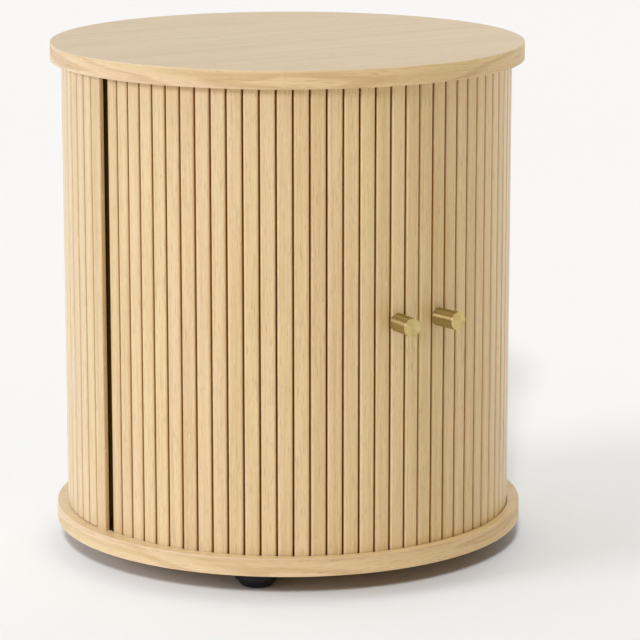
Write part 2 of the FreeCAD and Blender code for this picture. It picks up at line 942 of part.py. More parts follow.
os.makedirs("parts", exist_ok=True)
for piece in pieces:
    piece.Shape.exportStep("parts/%s.step" % piece.Label)
    box = piece.Shape.BoundBox
    print(
        "%-20s %2d solids %12.1f mm3  x %.2f %.2f  y %.2f %.2f  z %.2f %.2f"
        % (
            piece.Label,
            len(piece.Shape.Solids),
            piece.Shape.Volume,
            box.XMin,
            box.XMax,
            box.YMin,
            box.YMax,
            box.ZMin,
            box.ZMax,
        )
    )
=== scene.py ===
import json
import math

import bmesh
import bpy
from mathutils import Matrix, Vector

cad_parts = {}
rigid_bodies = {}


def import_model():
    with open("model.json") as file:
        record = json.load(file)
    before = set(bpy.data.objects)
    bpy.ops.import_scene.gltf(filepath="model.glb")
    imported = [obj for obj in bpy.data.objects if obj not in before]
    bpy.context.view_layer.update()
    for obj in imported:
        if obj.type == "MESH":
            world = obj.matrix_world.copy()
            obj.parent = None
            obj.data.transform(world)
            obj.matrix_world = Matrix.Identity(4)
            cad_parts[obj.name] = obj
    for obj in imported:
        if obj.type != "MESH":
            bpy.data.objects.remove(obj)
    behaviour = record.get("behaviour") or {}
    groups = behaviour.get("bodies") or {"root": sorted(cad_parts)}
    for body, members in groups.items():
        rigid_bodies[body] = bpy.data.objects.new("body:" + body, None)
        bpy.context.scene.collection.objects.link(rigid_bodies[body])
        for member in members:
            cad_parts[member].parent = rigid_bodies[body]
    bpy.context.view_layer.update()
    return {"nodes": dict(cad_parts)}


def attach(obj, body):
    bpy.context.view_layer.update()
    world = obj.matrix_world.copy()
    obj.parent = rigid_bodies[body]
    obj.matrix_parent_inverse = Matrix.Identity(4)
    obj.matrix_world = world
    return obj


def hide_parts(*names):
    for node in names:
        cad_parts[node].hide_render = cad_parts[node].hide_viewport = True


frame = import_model()
nodes = frame["nodes"]

# ------------------------------------------------------------------ sizes, metres
# The doors turn about the upright axis through the origin; the round boards and the
# fixed back are centred OFF behind it. The front faces -Y.
OFF = 0.0066
BOARD_R = 0.225
DOOR_R = 0.209
DOOR_PITCH = math.radians(4.165)
BACK_R = 0.2145
BACK_PITCH = math.radians(4.1422)
JAMB_TURN = math.pi - math.radians(86.8) - 0.5 * 0.0145 / BACK_R
BASE_TOP, TOP_UNDER = 0.042, 0.472

scene = bpy.context.scene
scene.view_settings.view_transform = "Standard"
scene.view_settings.look = "None"
scene.view_settings.exposure = 0.0
scene.view_settings.gamma = 1.0


# ------------------------------------------------------------------ node helpers

class Tree:
    """Short calls for building a material's nodes."""

    def __init__(self, name):
        self.mat = bpy.data.materials.new(name)
        self.mat.use_nodes = True
        self.t = self.mat.node_tree
        self.t.nodes.clear()
        self.out = self.t.nodes.new("ShaderNodeOutputMaterial")
        self.bsdf = self.t.nodes.new("ShaderNodeBsdfPrincipled")
        self.t.links.new(self.bsdf.outputs["BSDF"], self.out.inputs["Surface"])
        self._coord = None

    def put(self, socket, value):
        if isinstance(value, bpy.types.NodeSocket):
            self.t.links.new(value, socket)
        elif value is not None:
            socket.default_value = value

    def node(self, kind, props=None, **ins):
        n = self.t.nodes.new("ShaderNode" + kind)
        for k, v in (props or {}).items():
            setattr(n, k, v)
        for k, v in ins.items():
            self.put(n.inputs[k.replace("_", " ")], v)
        return n

    def math(self, op, a, b=None, c=None, clamp=False):
        n = self.t.nodes.new("ShaderNodeMath")
        n.operation, n.use_clamp = op, clamp
        for i, v in enumerate((a, b, c)):
            self.put(n.inputs[i], v)
        return n.outputs[0]

    def add(self, a, b):
        return self.math("ADD", a, b)

    def mul(self, a, b):
        return self.math("MULTIPLY", a, b)

    def sub(self, a, b):
        return self.math("SUBTRACT", a, b)

    def remap(self, v, a, b, c=0.0, d=1.0, smooth=False):
        n = self.t.nodes.new("ShaderNodeMapRange")
        n.interpolation_type = "SMOOTHSTEP" if smooth else "LINEAR"
        n.clamp = True
        for i, x in enumerate((v, a, b, c, d)):
            self.put(n.inputs[i], x)
        return n.outputs[0]

    def xyz(self, x, y, z):
        n = self.t.nodes.new("ShaderNodeCombineXYZ")
        for i, v in enumerate((x, y, z)):
            self.put(n.inputs[i], v)
        return n.outputs[0]

    def scaled(self, vec, sx, sy, sz):
        n = self.t.nodes.new("ShaderNodeVectorMath")
        n.operation = "MULTIPLY"
        self.put(n.inputs[0], vec)
        n.inputs[1].default_value = (sx, sy, sz)
        return n.outputs[0]

    def shifted(self, vec, x, y, z):
        n = self.t.nodes.new("ShaderNodeVectorMath")
        n.operation = "ADD"
        self.put(n.inputs[0], vec)
        n.inputs[1].default_value = (x, y, z)
        return n.outputs[0]

    def noise(self, vec, scale=1.0, detail=2.0, rough=0.5, distort=0.0):
        n = self.node("TexNoise", Vector=vec, Scale=scale, Detail=detail,
                      Roughness=rough, Distortion=distort)
        return n.outputs["Fac"]

    def white(self, w):
        n = self.node("TexWhiteNoise", {"noise_dimensions": "1D"}, W=w)
        return n.outputs["Value"]

    def mix(self, fac, a, b, how="MIX"):
        n = self.t.nodes.new("ShaderNodeMix")
        n.data_type, n.blend_type = "RGBA", how
        n.clamp_factor = True
        self.put(n.inputs[0], fac)
        for i, v in ((6, a), (7, b)):
            if isinstance(v, tuple) and len(v) == 3:
                v = v + (1.0,)
            self.put(n.inputs[i], v)
        return n.outputs[2]

    def ramp(self, fac, stops, how="LINEAR"):
        n = self.t.nodes.new("ShaderNodeValToRGB")
        n.color_ramp.interpolation = how
        el = n.color_ramp.elements
        while len(el) < len(stops):
            el.new(0.5)
        for e, (pos, col) in zip(el, stops):
            e.position = pos
            e.color = (col + (1.0,)) if isinstance(col, tuple) else (col, col, col, 1.0)
        self.put(n.inputs[0], fac)
        return n.outputs[0]

    def coord(self):
        # the piece's own coordinates, which turn with the body that it rides on
        if self._coord is None:
            c = self.t.nodes.new("ShaderNodeTexCoord")
            s = self.t.nodes.new("ShaderNodeSeparateXYZ")
            self.t.links.new(c.outputs["Object"], s.inputs[0])
            self._coord = (c.outputs["Object"], s.outputs[0], s.outputs[1], s.outputs[2])
        return self._coord

    def bump(self, height, strength, distance):
        n = self.node("Bump", Height=height, Strength=strength, Distance=distance)
        return n.outputs["Normal"]

    def surface(self, **ins):
        for k, v in ins.items():
            self.put(self.bsdf.inputs[k.replace("_", " ")], v)
        return self.mat


# ------------------------------------------------------------------ oak

def oak(t, along, across, depth, seed, pale, dark, figure=(1.4, 16.0, 7.0, 0.35),
        streak=0.5, pore=0.5, fleck=0.5, tone=None, hue=1.0, lean=None):
    """Colour, roughness and height of lacquered oak. along, across and depth are metres in the
    board's own directions; seed shifts the pattern from board to board."""
    lay = t.xyz(
        t.add(along, t.mul(seed, 31.7)),
        t.add(across, t.mul(seed, 7.3)),
        t.add(depth, t.mul(seed, 3.1)),
    )
    k_along, k_across, rings, ring_mix = figure
    # growth rings: contour lines of a long slow noise
    slow = t.noise(t.scaled(lay, k_along, k_across, k_across), 1.0, 2.2, 0.42, 0.25)
    ring = t.math("FRACT", t.mul(slow, rings))
    ring = t.ramp(ring, [(0.0, 0.15), (0.45, 0.28), (0.82, 1.0), (0.93, 0.8), (1.0, 0.15)], "EASE")
    broad = t.noise(t.scaled(lay, 1.1, 38.0, 30.0), 1.0, 2.0, 0.5)
    # fibres, from streaks a few millimetres wide down to hairlines
    fibre = t.noise(t.scaled(lay, 7.0, 290.0, 290.0), 1.0, 5.0, 0.66)
    hair = t.noise(t.scaled(lay, 17.0, 980.0, 980.0), 1.0, 3.0, 0.6)
    # open pores: dark dashes along the grain, closer together in the early wood of each ring
    early = t.sub(1.0, ring)
    dash = t.noise(t.shifted(t.scaled(lay, 70.0, 1250.0, 1250.0), 13.0, 5.0, 2.0), 1.0, 1.0, 0.5)
    pores = t.remap(t.sub(dash, t.sub(0.645, t.mul(early, 0.045))), 0.0, 0.085)
    long_dash = t.noise(t.shifted(t.scaled(lay, 34.0, 700.0, 700.0), 4.0, 17.0, 9.0), 1.0, 1.5, 0.5)
    crowd = t.noise(t.shifted(t.scaled(lay, 6.0, 60.0, 60.0), 8.0, 2.0, 31.0), 1.0, 1.0, 0.5)
    flecks = t.remap(t.sub(long_dash, t.sub(0.755, t.mul(crowd, 0.20))), 0.0, 0.085)
    # pale ray flecks
    ray = t.noise(t.shifted(t.scaled(lay, 95.0, 640.0, 210.0), 21.0, 3.0, 6.0), 1.0, 1.0, 0.5)
    rays = t.remap(ray, 0.66, 0.78)

    mixed = t.math("MULTIPLY_ADD", ring, ring_mix, t.mul(t.sub(broad, 0.5), 0.9))
    mixed = t.math("MULTIPLY_ADD", t.sub(fibre, 0.5), 1.9 * streak, mixed)
    mixed = t.math("MULTIPLY_ADD", t.sub(hair, 0.5), 1.3 * streak, mixed)
    if tone is not None:
        mixed = t.add(mixed, tone)
    mixed = t.math("ADD", mixed, 0.20, clamp=True)
    col = t.mix(mixed, pale, dark)
    # parts of a board lean pink, others lean straw yellow
    tint = t.noise(t.shifted(t.scaled(lay, 4.5, 85.0, 85.0), 3.0, 41.0, 12.0), 1.0, 2.0, 0.5)
    tint = t.remap(tint, 0.34, 0.66)
    if lean is not None:
        tint = t.math("MULTIPLY_ADD", tint, 0.6, t.mul(lean, 0.4))
    pink = t.mix(hue, col, (1.01, 0.965, 1.005), "MULTIPLY")
    straw = t.mix(hue, col, (1.005, 1.002, 0.945), "MULTIPLY")
    col = t.mix(tint, pink, straw)
    deep = (dark[0] * 0.56, dark[1] * 0.45, dark[2] * 0.32)
    col = t.mix(t.mul(pores, 0.36 * pore), col, deep)
    col = t.mix(t.mul(flecks, 0.32 * fleck), col, deep)
    light = (min(1.0, pale[0] * 1.10), min(1.0, pale[1] * 1.12), min(1.0, pale[2] * 1.16))
    col = t.mix(t.mul(rays, 0.6 * fleck), col, light)
    # height for the bump: pores sink, fibres stand a little
    high = t.math("MULTIPLY_ADD", pores, -1.0, t.mul(t.sub(hair, 0.5), 0.5))
    high = t.math("MULTIPLY_ADD", flecks, -0.5, high)
    rough = t.math("MULTIPLY_ADD", fibre, 0.16, 0.36)
    rough = t.math("MULTIPLY_ADD", pores, 0.2, rough)
    return col, rough, high


PALE = (0.745, 0.555, 0.272)
DARK = (0.605, 0.410, 0.168)


def door_oak():
    t = Tree("oak_door_slats")
    _, x, y, z = t.coord()
    turn = t.math("DIVIDE", t.math("ARCTAN2", x, t.mul(y, -1.0)), DOOR_PITCH)
    index = t.math("FLOOR", turn)
    u = t.mul(t.sub(t.sub(turn, index), 0.5), DOOR_PITCH * DOOR_R)
    radius = t.math("SQRT", t.add(t.mul(x, x), t.mul(y, y)))
    # where the two doors meet, the upright edge is lacquered like the face and gets little of the painted gap shade
    meet = t.remap(t.mul(t.math("ABSOLUTE", turn), DOOR_PITCH * DOOR_R), 0.0022, 0.0048, 1.0, 0.0)
    return slat_finish(t, index, u, z, radius, DOOR_R, 0.00695, 0.0, lacquered=meet)


def back_oak():
    t = Tree("oak_back_slats")
    _, x, y, z = t.coord()
    yo = t.sub(y, OFF)
    turn = t.math("DIVIDE", t.math("ARCTAN2", x, yo), BACK_PITCH)
    index = t.math("ROUND", turn)
    u = t.mul(t.sub(turn, index), BACK_PITCH * BACK_R)
    radius = t.math("SQRT", t.add(t.mul(x, x), t.mul(yo, yo)))
    return slat_finish(t, index, u, z, radius, BACK_R, 0.00695, 80.0)


def jamb_oak():
    # the slat at each end of the back: its upright end is finished like its face, with none of the painted gap shade
    t = Tree("oak_jamb_slats")
    _, x, y, z = t.coord()
    yo = t.sub(y, OFF)
    side = t.math("SIGN", x)
    turn = t.math("ARCTAN2", t.math("ABSOLUTE", x), yo)
    u = t.mul(t.sub(turn, JAMB_TURN), BACK_R)
    radius = t.math("SQRT", t.add(t.mul(x, x), t.mul(yo, yo)))
    return slat_finish(t, side, u, z, radius, BACK_R, 0.00725, 160.0, bare_shade_weight=0.0)


def slat_finish(t, index, u, z, radius, face_r, half, salt, bare_shade_weight=0.9, lacquered=None):
    seed = t.white(t.add(index, 0.37 + salt))
    shade = t.white(t.add(index, 17.61 + salt))
    warm = t.white(t.add(index, 43.13 + salt))
    tone = t.mul(t.sub(shade, 0.5), 0.42)
    col, rough, high = oak(
        t, z, u, t.sub(radius, face_r), seed, PALE, DARK,
        figure=(0.9, 42.0, 5.0, 0.30), streak=0.95, pore=1.0, fleck=1.0, tone=tone, lean=warm,
    )
    # the long arrises are painted a little paler: partly sanding wear, partly a painted highlight on the rounded
    # edges
    edge = t.remap(t.math("ABSOLUTE", u), half - 0.0024, half - 0.0006, 0.0, 1.0, True)
    front = t.remap(radius, face_r - 0.0016, face_r - 0.0003, 0.0, 1.0, True)
    paler_mask = t.mul(t.mul(edge, front), t.remap(t.noise(t.xyz(t.mul(z, 14.0), index, 0.0), 1.0, 3.0, 0.6), 0.3, 0.7))
    col = t.mix(t.mul(paler_mask, 0.16), col, (0.88, 0.68, 0.40))
    # behind the face the lacquer stops, and the gap walls are painted dark brown: painted shade in the gaps between
    # the slats
    bare_shaded = t.remap(radius, face_r - 0.0018, face_r - 0.0004, 1.0, 0.0, True)
    if lacquered is not None:
        bare_shaded = t.mul(bare_shaded, t.math("MULTIPLY_ADD", lacquered, -0.8, 1.0))
    col = t.mix(t.mul(bare_shaded, bare_shade_weight), col, t.mix(1.0, col, (0.56, 0.34, 0.045), "MULTIPLY"))
    rough = t.math("MULTIPLY_ADD", bare_shaded, 0.28 * bare_shade_weight, rough)
    return t.surface(
        Base_Color=col, Roughness=rough, Normal=t.bump(high, 0.45, 0.00012),
        Coat_Weight=t.math("MULTIPLY_ADD", bare_shaded, -0.70 * bare_shade_weight, 0.70), Coat_Roughness=0.29,
    )


def band_oak():
    # edge strips bent round the rims: the grain runs along the strip
    t = Tree("oak_edge_band")
    _, x, y, z = t.coord()
    yo = t.sub(y, OFF)
    arc = t.mul(t.math("ARCTAN2", x, t.mul(yo, -1.0)), BOARD_R)
    upper = t.math("GREATER_THAN", z, 0.25)
    seed = t.add(t.mul(upper, 0.41), 0.23)
    radius = t.math("SQRT", t.add(t.mul(x, x), t.mul(yo, yo)))
    col, rough, high = oak(
        t, arc, z, radius, seed, (0.785, 0.595, 0.318), (0.580, 0.390, 0.173),
        figure=(3.4, 34.0, 6.0, 0.62), streak=0.45, pore=0.8, fleck=0.85,
    )
    # paler lines along the band's two arrises: partly wear, partly a painted highlight on the rounded edges
    mid = t.math("ABSOLUTE", t.sub(t.sub(z, t.mul(upper, TOP_UNDER - 0.025)), 0.0335))
    paler_mask = t.remap(mid, 0.0074, 0.0084, 0.0, 1.0, True)
    col = t.mix(t.mul(paler_mask, 0.30), col, (0.88, 0.70, 0.44))
    return t.surface(
        Base_Color=col, Roughness=rough, Normal=t.bump(high, 0.4, 0.00012),
    )


def strip_oak():
    # short straight strips on the shelf's front edge and the drum's front edges
    t = Tree("oak_strips")
    _, x, y, z = t.coord()
    upright = t.math("GREATER_THAN", t.math("ABSOLUTE", x), 0.1835)
    along = t.add(t.mul(z, upright), t.mul(x, t.sub(1.0, upright)))
    across = t.add(t.mul(x, upright), t.mul(z, t.sub(1.0, upright)))
    col, rough, high = oak(
        t, along, across, y, t.mul(upright, 0.5), (0.790, 0.600, 0.365), (0.600, 0.415, 0.215),
        figure=(2.2, 26.0, 5.0, 0.40), streak=0.5, pore=0.8, fleck=0.8,
    )
    return t.surface(
        Base_Color=col, Roughness=rough, Normal=t.bump(high, 0.4, 0.00012),
    )


def board_oak():
    # veneered boards: leaves of veneer side by side, grain along X; cut faces show the core
    t = Tree("oak_veneer_boards")
    _, x, y, z = t.coord()
    leaf = t.math("FLOOR", t.math("DIVIDE", t.add(y, 0.071), 0.158))
    level = t.math("FLOOR", t.mul(z, 6.0))
    seed = t.white(t.add(t.add(leaf, t.mul(level, 9.0)), 0.71))
    tone = t.mul(t.sub(seed, 0.5), 0.16)
    col, rough, high = oak(
        t, x, y, z, seed, (0.692, 0.522, 0.265), (0.577, 0.408, 0.190),
        figure=(1.1, 13.0, 9.0, 0.30), streak=0.40, pore=0.7, fleck=0.55, tone=tone, hue=0.6,
    )
    # the base board is painted paler than the top: painted light that lifts the ledge round the slats' feet, which
    # lies in their shade
    base_painted_light = t.math("LESS_THAN", z, 0.25)
    col = t.mix(base_painted_light, col, t.mix(1.0, col, (1.16, 1.16, 1.13), "MULTIPLY"))
    # the groove's walls and the drilled holes show the pressed core of the board
    g = t.node("NewGeometry")
    n = t.t.nodes.new("ShaderNodeSeparateXYZ")
    t.t.links.new(g.outputs["True Normal"], n.inputs[0])
    side = t.remap(t.math("ABSOLUTE", n.outputs[2]), 0.4, 0.7, 1.0, 0.0)
    low = t.math("MULTIPLY", t.math("GREATER_THAN", z, 0.0255), t.math("LESS_THAN", z, 0.0412))
    high_in = t.math("MULTIPLY", t.math("GREATER_THAN", z, 0.4728), t.math("LESS_THAN", z, 0.4885))
    cutaway = t.math("MAXIMUM", side, t.math("MAXIMUM", low, high_in))
    chip = t.noise(t.scaled(t.coord()[0], 420.0, 420.0, 620.0), 1.0, 4.0, 0.65)
    core = t.ramp(chip, [(0.30, (0.30, 0.19, 0.095)), (0.5, (0.47, 0.33, 0.185)), (0.72, (0.60, 0.45, 0.28))])
    col = t.mix(cutaway, col, core)
    # the base's underside is painted dark brown: painted shade that deepens the shadow on the floor under the base
    underside_shade = t.math("MULTIPLY", t.math("LESS_THAN", n.outputs[2], -0.7), t.math("LESS_THAN", z, 0.0254))
    col = t.mix(underside_shade, col, t.mix(1.0, col, (0.43, 0.30, 0.135), "MULTIPLY"))
    rough = t.math("MULTIPLY_ADD", cutaway, 0.35, rough)
    high = t.math("MULTIPLY_ADD", t.mul(cutaway, chip), 2.0, high)
    return t.surface(
        Base_Color=col, Roughness=rough, Normal=t.bump(high, 0.3, 0.00012),
        Coat_Weight=0.38, Coat_Roughness=0.32,
    )


def shelf_oak():
    t = Tree("oak_veneer_shelf")
    _, x, y, z = t.coord()
    leaf = t.math("FLOOR", t.math("DIVIDE", t.add(y, 0.06), 0.121))
    seed = t.white(t.add(leaf, 5.3))
    col, rough, high = oak(
        t, x, y, z, seed, (0.745, 0.590, 0.380), (0.595, 0.445, 0.260),
        figure=(1.2, 15.0, 8.0, 0.34), streak=0.45, pore=0.7, fleck=0.6,
        tone=t.mul(t.sub(seed, 0.5), 0.16),
    )
    return t.surface(
        Base_Color=col, Roughness=rough, Normal=t.bump(high, 0.35, 0.00012),
    )


def bent_ply():
    # bent plywood: face veneer with upright grain, thin plies on the cut edges
    t = Tree("bent_plywood")
    _, x, y, z = t.coord()
    arc = t.mul(t.math("ARCTAN2", x, y), 0.19)
    radius = t.math("SQRT", t.add(t.mul(x, x), t.mul(y, y)))
    leaf = t.math("FLOOR", t.math("DIVIDE", t.add(arc, 0.04), 0.145))
    seed = t.white(t.add(leaf, 2.9))
    col, rough, high = oak(
        t, z, arc, radius, seed, (0.760, 0.590, 0.370), (0.610, 0.440, 0.240),
        figure=(1.3, 14.0, 8.0, 0.36), streak=0.5, pore=0.8, fleck=0.6,
        tone=t.mul(t.sub(seed, 0.5), 0.2),
    )
    g = t.node("NewGeometry")
    n = t.t.nodes.new("ShaderNodeSeparateXYZ")
    t.t.links.new(g.outputs["True Normal"], n.inputs[0])
    ends = t.remap(t.math("ABSOLUTE", n.outputs[2]), 0.5, 0.8)
    ply = t.math("FRACT", t.mul(radius, 640.0))
    ply = t.ramp(ply, [(0.0, (0.34, 0.22, 0.11)), (0.12, (0.62, 0.46, 0.27)), (0.52, (0.70, 0.53, 0.32)),
                       (0.56, (0.42, 0.28, 0.15)), (0.95, (0.47, 0.32, 0.18))])
    col = t.mix(ends, col, ply)
    return t.surface(
        Base_Color=col, Roughness=rough, Normal=t.bump(high, 0.35, 0.00012),
    )


def beech_wood():
    t = Tree("beech_dowel")
    _, x, y, z = t.coord()
    lay = t.xyz(t.mul(x, 900.0), t.mul(y, 900.0), t.mul(z, 60.0))
    grain = t.noise(lay, 1.0, 4.0, 0.6)
    dash = t.noise(t.scaled(t.coord()[0], 2200.0, 2200.0, 260.0), 1.0, 1.0, 0.5)
    col = t.ramp(grain, [(0.3, (0.52, 0.33, 0.19)), (0.7, (0.68, 0.48, 0.30))])
    col = t.mix(t.mul(t.remap(dash, 0.62, 0.72), 0.6), col, (0.36, 0.20, 0.10))
    return t.surface(
        Base_Color=col, Roughness=t.math("MULTIPLY_ADD", grain, 0.2, 0.5),
        Normal=t.bump(grain, 0.3, 0.0002),
    )


# ------------------------------------------------------------------ metal, plastic, cloth

# distance along the knob's profile, from its back centre to the rim of its face
KNOB_SIDE = 0.00205 + 0.010 + 0.00645 + 0.027


def satin_brass():
    # turned bar with a satin brushed finish: UV u goes round, v goes along the profile
    t = Tree("satin_brass")
    uv = t.node("UVMap", {"uv_map": "turn"})
    s = t.t.nodes.new("ShaderNodeSeparateXYZ")
    t.t.links.new(uv.outputs[0], s.inputs[0])
    u, v = s.outputs[0], s.outputs[1]
    lines = t.noise(t.xyz(t.mul(u, 2.2), t.mul(v, 5200.0), 0.0), 1.0, 3.0, 0.6)
    broad = t.noise(t.xyz(t.mul(u, 3.0), t.mul(v, 420.0), 3.0), 1.0, 2.0, 0.5)
    haze = t.noise(t.scaled(t.coord()[0], 160.0, 160.0, 160.0), 1.0, 3.0, 0.55)
    col = t.mix(t.remap(lines, 0.3, 0.7), (0.765, 0.605, 0.262), (0.82, 0.672, 0.320))
    col = t.mix(t.mul(t.remap(haze, 0.45, 0.75), 0.35), col, (0.60, 0.45, 0.180))
    # the side is painted darker: painted shade and painted reflection standing for the dim wood that the brass side
    # reflects
    side_shade = t.remap(v, KNOB_SIDE - 0.0015, KNOB_SIDE, 1.0, 0.0, True)
    col = t.mix(side_shade, col, t.mix(1.0, col, (0.535, 0.478, 0.365), "MULTIPLY"))
    rough = t.math("MULTIPLY_ADD", broad, 0.10, 0.46)
    rough = t.math("MULTIPLY_ADD", haze, 0.06, rough)
    tangent = t.node("Tangent", {"direction_type": "UV_MAP", "uv_map": "turn"})
    return t.surface(
        Base_Color=col, Metallic=1.0, Roughness=rough, Anisotropic=0.85, Anisotropic_Rotation=0.25,
        Tangent=tangent.outputs[0], Normal=t.bump(lines, 0.10, 0.00008),
    )


def black_plastic():
    t = Tree("black_plastic")
    obj, x, y, z = t.coord()
    pebble = t.noise(t.scaled(obj, 1500.0, 1500.0, 1500.0), 1.0, 2.0, 0.5)
    cloud = t.noise(t.scaled(obj, 90.0, 90.0, 90.0), 1.0, 3.0, 0.6)
    scuff = t.noise(t.scaled(obj, 240.0, 240.0, 900.0), 1.0, 2.0, 0.6)
    low = t.remap(z, 0.0, 0.006, 1.0, 0.0, True)
    paler_mask = t.mul(low, t.remap(scuff, 0.45, 0.7))
    col = t.mix(cloud, (0.0042, 0.0041, 0.0043), (0.0085, 0.0083, 0.0088))
    col = t.mix(t.mul(paler_mask, 0.4), col, (0.035, 0.034, 0.033))
    rough = t.math("MULTIPLY_ADD", cloud, 0.14, 0.36)
    rough = t.math("MULTIPLY_ADD", paler_mask, 0.25, rough)
    return t.surface(
        Base_Color=col, Roughness=rough, Specular_IOR_Level=0.33, Normal=t.bump(pebble, 0.25, 0.00015),
    )


def zinc_steel():
    t = Tree("zinc_steel")
    obj, x, y, z = t.coord()
    cloud = t.noise(t.scaled(obj, 300.0, 300.0, 300.0), 1.0, 4.0, 0.6)
    fine = t.noise(t.scaled(obj, 2600.0, 2600.0, 900.0), 1.0, 2.0, 0.5)
    col = t.ramp(cloud, [(0.3, (0.42, 0.43, 0.44)), (0.55, (0.60, 0.61, 0.62)), (0.75, (0.66, 0.65, 0.60))])
    return t.surface(
        Base_Color=col, Metallic=1.0, Roughness=t.math("MULTIPLY_ADD", cloud, 0.25, 0.25),
        Normal=t.bump(fine, 0.15, 0.0001),
    )


def canvas_cloth():
    # plain-weave cotton, coloured a dark brown: partly the cloth's tan, partly painted shade for the gaps between
    # the slats it shows through; UV in metres of the flat cloth
    t = Tree("canvas_cloth")
    uv = t.node("UVMap", {"uv_map": "cloth"})
    s = t.t.nodes.new("ShaderNodeSeparateXYZ")
    t.t.links.new(uv.outputs[0], s.inputs[0])
    u, v = t.mul(s.outputs[0], 1150.0), t.mul(s.outputs[1], 1150.0)
    wob = t.noise(t.xyz(t.mul(u, 0.12), t.mul(v, 0.12), 0.0), 1.0, 2.0, 0.5)
    u = t.math("MULTIPLY_ADD", wob, 1.1, u)
    v = t.math("MULTIPLY_ADD", wob, -0.9, v)
    warp = t.math("ABSOLUTE", t.math("SINE", t.mul(u, math.pi)))
    weft = t.math("ABSOLUTE", t.math("SINE", t.mul(v, math.pi)))
    over = t.math("FRACT", t.mul(t.add(t.math("FLOOR", u), t.math("FLOOR", v)), 0.5))
    over = t.math("GREATER_THAN", over, 0.25)
    weave = t.add(t.mul(over, t.mul(warp, t.math("MULTIPLY_ADD", weft, 0.5, 0.5))),
                  t.mul(t.sub(1.0, over), t.mul(weft, t.math("MULTIPLY_ADD", warp, 0.5, 0.5))))
    slub = t.noise(t.xyz(t.mul(u, 0.03), t.mul(v, 0.9), 0.0), 1.0, 3.0, 0.6)
    fuzz = t.noise(t.xyz(t.mul(u, 2.6), t.mul(v, 2.6), 0.0), 1.0, 2.0, 0.6)
    col = t.ramp(weave, [(0.05, (0.150, 0.070, 0.012)), (0.5, (0.300, 0.155, 0.031)), (0.95, (0.410, 0.230, 0.060))])
    col = t.mix(t.mul(t.remap(slub, 0.35, 0.7), 0.35), col, (0.44, 0.26, 0.090))
    col = t.mix(t.mul(fuzz, 0.18), col, (0.19, 0.092, 0.020))
    return t.surface(
        Base_Color=col, Roughness=0.92, Specular_IOR_Level=0.10, Sheen_Weight=0.10,
        Sheen_Tint=(0.55, 0.30, 0.10, 1.0), Sheen_Roughness=0.5, Normal=t.bump(weave, 0.7, 0.0004),
    )


# ------------------------------------------------------------------ finishes on the nodes

FINISH = {
    "door": door_oak(), "back": back_oak(), "jamb": jamb_oak(), "band": band_oak(), "strip": strip_oak(),
    "board": board_oak(), "shelf": shelf_oak(), "ply": bent_ply(), "beech": beech_wood(),
    "brass": satin_brass(), "plastic": black_plastic(), "zinc": zinc_steel(),
    "canvas": canvas_cloth(),
}
WEARS = {
    "door": ["left_door_slats", "left_lead_slat", "left_knob_slat",
             "right_door_slats", "right_lead_slat", "right_knob_slat"],
    "back": ["back_slats"],
    "jamb": ["left_jamb_slat", "right_jamb_slat"],
    "band": ["top_edge_band", "base_edge_band"],
    "strip": ["shelf_edge_band", "left_drum_edge", "right_drum_edge"],
    "board": ["top_panel", "base_panel"],
    "shelf": ["shelf"],
    "ply": ["back_shell", "inner_drum"],
    "beech": ["top_dowels"],
    "plastic": ["front_left_foot", "front_right_foot", "rear_left_foot", "rear_right_foot"],
    "zinc": ["shelf_pins", "base_screws", "foot_screws", "left_knob_screw", "right_knob_screw"],
}
for finish, names in WEARS.items():
    for name in names:
        mesh = nodes[name].data
        mesh.materials.clear()
        mesh.materials.append(FINISH[finish])


# ------------------------------------------------------------------ new pieces

def link(name, mesh):
    obj = bpy.data.objects.new(name, mesh)
    scene.collection.objects.link(obj)
    return obj


def lathe(name, profile, origin, axis, material, segments=96):
    """A turned piece. profile holds (distance along the axis, radius), from the back centre to the
    front centre; UV u goes round in turns, v along the profile in metres."""
    axis = Vector(axis).normalized()
    side = axis.cross(Vector((0, 0, 1))).normalized()
    up = side.cross(axis)
    bm = bmesh.new()
    uv = bm.loops.layers.uv.new("turn")
    origin = Vector(origin)
    run = [0.0]
    for (a0, r0), (a1, r1) in zip(profile, profile[1:]):
        run.append(run[-1] + math.hypot(a1 - a0, r1 - r0))
    rows = []
    for a, r in profile:
        if r < 1e-9:
            rows.append([bm.verts.new(origin + axis * a)])
            continue
        row = []
        for k in range(segments):
            w = 2 * math.pi * k / segments
            row.append(bm.verts.new(origin + axis * a + (side * math.cos(w) + up * math.sin(w)) * r))
        rows.append(row)
    for i in range(len(rows) - 1):
        a, b = rows[i], rows[i + 1]
        for k in range(segments):
            m = (k + 1) % segments
            u0, u1 = k / segments, (k + 1) / segments
            if len(a) == 1:
                verts, uvs = (a[0], b[m], b[k]), ((0.5 * (u0 + u1), run[i]), (u1, run[i + 1]), (u0, run[i + 1]))
            elif len(b) == 1:
                verts, uvs = (a[k], a[m], b[0]), ((u0, run[i]), (u1, run[i]), (0.5 * (u0 + u1), run[i + 1]))
            else:
                verts = (a[k], a[m], b[m], b[k])
                uvs = ((u0, run[i]), (u1, run[i]), (u1, run[i + 1]), (u0, run[i + 1]))
            face = bm.faces.new(verts)
            face.smooth = True
            for loop, c in zip(face.loops, uvs):
                loop[uv].uv = c
    bmesh.ops.recalc_face_normals(bm, faces=bm.faces[:])
    mesh = bpy.data.meshes.new(name)
    bm.to_mesh(mesh)
    bm.free()
    mesh.materials.append(material)
    return link(name, mesh)


def rounded(points, radius, steps=6):
    """The profile with its corners rounded, where radius[i] is above zero."""
    out = []
    for i, p in enumerate(points):
        r = radius[i]
        if r <= 0:
            out.append(p)
            continue
        p0, p1, p2 = Vector(points[i - 1]), Vector(p), Vector(points[i + 1])
        d0, d2 = (p0 - p1).normalized(), (p2 - p1).normalized()
        for s in range(steps + 1):
            w = s / steps
            a, b = p1 + d0 * r, p1 + d2 * r
            q = a * (1 - w) ** 2 + p1 * (2 * w * (1 - w)) + b * w ** 2
            out.append((q.x, q.y))
    return out


